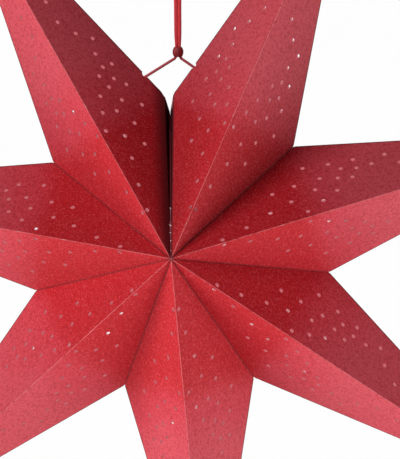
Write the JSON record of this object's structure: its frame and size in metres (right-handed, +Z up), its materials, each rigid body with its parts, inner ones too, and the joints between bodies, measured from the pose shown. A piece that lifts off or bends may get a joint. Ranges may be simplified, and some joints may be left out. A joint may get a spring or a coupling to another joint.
{
  "type": "moravian star pendant",
  "caption": "Folding paper star pendant with hollow punched points that turn on their creases, hung from a loop of cord with a sliding bead.",
  "frame": {"origin": "inside top of the hanging loop, where a hook carries it", "axes": "+Z up, -Y towards the front of the star, +X to the viewer's right"},
  "size_m": [0.5783, 0.1603, 0.5672],
  "materials": {
    "red_card": "matte",
    "cord": "matte",
    "bead": "gloss"
  },
  "bodies": {
    "cord_anchor": {"hanging_loop": "cord"},
    "strands": {"cord_strand_left": "cord", "cord_strand_right": "cord"},
    "bead": {"cord_bead": "bead"},
    "cord_legs": {"cord_leg_left": "cord", "cord_leg_right": "cord", "stop_knot_right": "cord"},
    "left_knot": {"stop_knot_left": "cord"},
    "point_1_front_left": {"point_1_front_left": "red_card", "end_flap_1_front": "red_card"},
    "point_1_front_right": {"point_1_front_right": "red_card"},
    "point_1_back_left": {"point_1_back_left": "red_card", "end_flap_1_back": "red_card"},
    "point_1_back_right": {"point_1_back_right": "red_card"},
    "point_2_front_left": {"point_2_front_left": "red_card", "glue_flap_1_front": "red_card"},
    "point_2_front_right": {"point_2_front_right": "red_card"},
    "point_2_back_left": {"point_2_back_left": "red_card", "glue_flap_1_back": "red_card"},
    "point_2_back_right": {"point_2_back_right": "red_card"},
    "point_3_front_left": {"point_3_front_left": "red_card", "glue_flap_2_front": "red_card"},
    "point_3_front_right": {"point_3_front_right": "red_card"},
    "point_3_back_left": {"point_3_back_left": "red_card", "glue_flap_2_back": "red_card"},
    "point_3_back_right": {"point_3_back_right": "red_card"},
    "point_4_front_left": {"point_4_front_left": "red_card", "glue_flap_3_front": "red_card"},
    "point_4_front_right": {"point_4_front_right": "red_card"},
    "point_4_back_left": {"point_4_back_left": "red_card", "glue_flap_3_back": "red_card"},
    "point_4_back_right": {"point_4_back_right": "red_card"},
    "point_5_front_left": {"point_5_front_left": "red_card", "glue_flap_4_front": "red_card"},
    "point_5_front_right": {"point_5_front_right": "red_card"},
    "point_5_back_left": {"point_5_back_left": "red_card", "glue_flap_4_back": "red_card"},
    "point_5_back_right": {"point_5_back_right": "red_card"},
    "point_6_front_left": {"point_6_front_left": "red_card", "glue_flap_5_front": "red_card"},
    "point_6_front_right": {"point_6_front_right": "red_card"},
    "point_6_back_left": {"point_6_back_left": "red_card", "glue_flap_5_back": "red_card"},
    "point_6_back_right": {"point_6_back_right": "red_card"},
    "point_7_front_left": {"point_7_front_left": "red_card", "glue_flap_6_front": "red_card"},
    "point_7_front_right": {"point_7_front_right": "red_card", "end_flap_7_front": "red_card"},
    "point_7_back_left": {"point_7_back_left": "red_card", "glue_flap_6_back": "red_card"},
    "point_7_back_right": {"point_7_back_right": "red_card", "end_flap_7_back": "red_card"}
  },
  "joints": [
    {"name": "cord_swing", "type": "hinge", "parent": "cord_anchor", "child": "strands", "pos_m": [0, 0, -0.02], "axis": [1, 0, 0], "range_deg": [-20, 20]},
    {"name": "bead_slide", "type": "slide", "parent": "strands", "child": "bead", "axis": [0, 0, 1], "range_m": [0, 0.02]},
    {"name": "star_twist", "type": "hinge", "parent": "strands", "child": "cord_legs", "pos_m": [0, 0, -0.0655], "axis": [0, 0, 1], "range_deg": [-180, 180]},
    {"name": "cord_crease_right", "type": "hinge", "parent": "cord_legs", "child": "point_1_front_left", "pos_m": [-0.00368, 0, -0.09456], "axis": [-0.5876, 0, -0.8092], "range_deg": [0, 7.88]},
    {"name": "star_fold", "type": "hinge", "parent": "point_1_front_left", "child": "point_1_front_right", "pos_m": [0, -0.081, -0.2], "axis": [0.3847, 0.2607, 0.8855], "range_deg": [0, 16]},
    {"name": "valley_1", "type": "hinge", "parent": "point_1_front_right", "child": "point_2_front_left", "pos_m": [0, -0.081, -0.2], "axis": [-0.5984, -0.609, -0.5207], "range_deg": [0, 16.63]},
    {"name": "side_1_left", "type": "hinge", "parent": "point_1_front_left", "child": "point_1_back_left", "pos_m": [-0.00368, 0, -0.09456], "axis": [0.5876, 0, 0.8092], "range_deg": [0, 15.76]},
    {"name": "side_1_right", "type": "hinge", "parent": "point_1_front_right", "child": "point_1_back_right", "pos_m": [0.07959, 0, -0.13075], "axis": [-0.1906, 0, -0.9817], "range_deg": [0, 15.76]},
    {"name": "ridge_2", "type": "hinge", "parent": "point_2_front_left", "child": "point_2_front_right", "pos_m": [0, -0.081, -0.2], "axis": [0.9301, 0.2607, 0.2587], "range_deg": [0, 16]},
    {"name": "valley_2", "type": "hinge", "parent": "point_2_front_right", "child": "point_3_front_left", "pos_m": [0, -0.081, -0.2], "axis": [-0.7813, -0.609, 0.137], "range_deg": [0, 16.63]},
    {"name": "side_2_left", "type": "hinge", "parent": "point_2_front_left", "child": "point_2_back_left", "pos_m": [0.07959, 0, -0.13075], "axis": [0.9986, 0, 0.0531], "range_deg": [0, 15.76]},
    {"name": "side_2_right", "type": "hinge", "parent": "point_2_front_right", "child": "point_2_back_right", "pos_m": [0.10392, 0, -0.21822], "axis": [-0.8826, 0, -0.4701], "range_deg": [0, 15.76]},
    {"name": "ridge_3", "type": "hinge", "parent": "point_3_front_left", "child": "point_3_front_right", "pos_m": [0, -0.081, -0.2], "axis": [0.7867, 0.2607, -0.5596], "range_deg": [0, 16]},
    {"name": "valley_3", "type": "hinge", "parent": "point_3_front_right", "child": "point_4_front_left", "pos_m": [0, -0.081, -0.2], "axis": [-0.3856, -0.609, 0.6932], "range_deg": [0, 16.63]},
    {"name": "side_3_left", "type": "hinge", "parent": "point_3_front_left", "child": "point_3_back_left", "pos_m": [0.10392, 0, -0.21822], "axis": [0.6701, 0, -0.7423], "range_deg": [0, 15.76]},
    {"name": "side_3_right", "type": "hinge", "parent": "point_3_front_right", "child": "point_3_back_right", "pos_m": [0.05129, 0, -0.2922], "axis": [-0.921, 0, 0.3896], "range_deg": [0, 15.76]},
    {"name": "ridge_4", "type": "hinge", "parent": "point_4_front_left", "child": "point_4_front_right", "pos_m": [0, -0.081, -0.2], "axis": [0.0606, 0.2607, -0.9635], "range_deg": [0, 16]},
    {"name": "valley_4", "type": "hinge", "parent": "point_4_front_right", "child": "point_5_front_left", "pos_m": [0, -0.081, -0.2], "axis": [0.2957, -0.609, 0.736], "range_deg": [0, 16.63]},
    {"name": "side_4_left", "type": "hinge", "parent": "point_4_front_left", "child": "point_4_back_left", "pos_m": [0.05129, 0, -0.2922], "axis": [-0.1547, 0, -0.988], "range_deg": [0, 15.76]},
    {"name": "side_4_right", "type": "hinge", "parent": "point_4_front_right", "child": "point_4_back_right", "pos_m": [-0.03933, 0, -0.2979], "axis": [-0.2773, 0, 0.9608], "range_deg": [0, 15.76]},
    {"name": "ridge_5", "type": "hinge", "parent": "point_5_front_left", "child": "point_5_front_right", "pos_m": [0, -0.081, -0.2], "axis": [-0.7103, 0.2607, -0.6538], "range_deg": [0, 16]},
    {"name": "valley_5", "type": "hinge", "parent": "point_5_front_right", "child": "point_6_front_left", "pos_m": [0, -0.081, -0.2], "axis": [0.7579, -0.609, 0.2338], "range_deg": [0, 16.63]},
    {"name": "side_5_left", "type": "hinge", "parent": "point_5_front_left", "child": "point_5_back_left", "pos_m": [-0.03933, 0, -0.2979], "axis": [-0.8649, 0, -0.5019], "range_deg": [0, 15.76]},
    {"name": "side_5_right", "type": "hinge", "parent": "point_5_front_right", "child": "point_5_back_right", "pos_m": [-0.10081, 0, -0.2311], "axis": [0.5717, 0, 0.8204], "range_deg": [0, 15.76]},
    {"name": "ridge_6", "type": "hinge", "parent": "point_6_front_left", "child": "point_6_front_right", "pos_m": [0, -0.081, -0.2], "axis": [-0.9552, 0.2607, 0.1401], "range_deg": [0, 16]},
    {"name": "valley_6", "type": "hinge", "parent": "point_6_front_right", "child": "point_7_front_left", "pos_m": [0, -0.081, -0.2], "axis": [0.6589, -0.609, -0.4416], "range_deg": [0, 16.63]},
    {"name": "side_6_left", "type": "hinge", "parent": "point_6_front_left", "child": "point_6_back_left", "pos_m": [-0.10081, 0, -0.2311], "axis": [-0.9346, 0, 0.3558], "range_deg": [0, 15.76]},
    {"name": "side_6_right", "type": "hinge", "parent": "point_6_front_right", "child": "point_6_back_right", "pos_m": [-0.08764, 0, -0.14127], "axis": [0.9974, 0, 0.0725], "range_deg": [0, 15.76]},
    {"name": "ridge_7", "type": "hinge", "parent": "point_7_front_left", "child": "point_7_front_right", "pos_m": [0, -0.081, -0.2], "axis": [-0.4927, 0.2607, 0.8302], "range_deg": [0, 16]},
    {"name": "side_7_left", "type": "hinge", "parent": "point_7_front_left", "child": "point_7_back_left", "pos_m": [-0.08764, 0, -0.14127], "axis": [-0.3121, 0, 0.95], "range_deg": [0, 15.76]},
    {"name": "side_7_right", "type": "hinge", "parent": "point_7_front_right", "child": "point_7_back_right", "pos_m": [-0.00956, 0, -0.09493], "axis": [0.6844, 0, -0.7291], "range_deg": [0, 15.76]},
    {"name": "cord_crease_left", "type": "hinge", "parent": "cord_legs", "child": "left_knot", "pos_m": [-0.00273, 0, -0.21401], "axis": [0, -1, 0], "range_deg": [0, 35.59], "deforming": ["cord_leg_left"]}
  ],
  "couplings": [
    {"joint": "cord_crease_right", "follows": "star_fold", "ratio": 0.4926},
    {"joint": "valley_1", "follows": "star_fold", "ratio": 1.0396},
    {"joint": "side_1_left", "follows": "star_fold", "ratio": 0.9852},
    {"joint": "side_1_right", "follows": "star_fold", "ratio": 0.9852},
    {"joint": "ridge_2", "follows": "star_fold", "ratio": 1},
    {"joint": "valley_2", "follows": "star_fold", "ratio": 1.0396},
    {"joint": "side_2_left", "follows": "star_fold", "ratio": 0.9852},
    {"joint": "side_2_right", "follows": "star_fold", "ratio": 0.9852},
    {"joint": "ridge_3", "follows": "star_fold", "ratio": 1},
    {"joint": "valley_3", "follows": "star_fold", "ratio": 1.0396},
    {"joint": "side_3_left", "follows": "star_fold", "ratio": 0.9852},
    {"joint": "side_3_right", "follows": "star_fold", "ratio": 0.9852},
    {"joint": "ridge_4", "follows": "star_fold", "ratio": 1},
    {"joint": "valley_4", "follows": "star_fold", "ratio": 1.0396},
    {"joint": "side_4_left", "follows": "star_fold", "ratio": 0.9852},
    {"joint": "side_4_right", "follows": "star_fold", "ratio": 0.9852},
    {"joint": "ridge_5", "follows": "star_fold", "ratio": 1},
    {"joint": "valley_5", "follows": "star_fold", "ratio": 1.0396},
    {"joint": "side_5_left", "follows": "star_fold", "ratio": 0.9852},
    {"joint": "side_5_right", "follows": "star_fold", "ratio": 0.9852},
    {"joint": "ridge_6", "follows": "star_fold", "ratio": 1},
    {"joint": "valley_6", "follows": "star_fold", "ratio": 1.0396},
    {"joint": "side_6_left", "follows": "star_fold", "ratio": 0.9852},
    {"joint": "side_6_right", "follows": "star_fold", "ratio": 0.9852},
    {"joint": "ridge_7", "follows": "star_fold", "ratio": 1},
    {"joint": "side_7_left", "follows": "star_fold", "ratio": 0.9852},
    {"joint": "side_7_right", "follows": "star_fold", "ratio": 0.9852},
    {"joint": "cord_crease_left", "follows": "star_fold", "ratio": 2.2241}
  ]
}
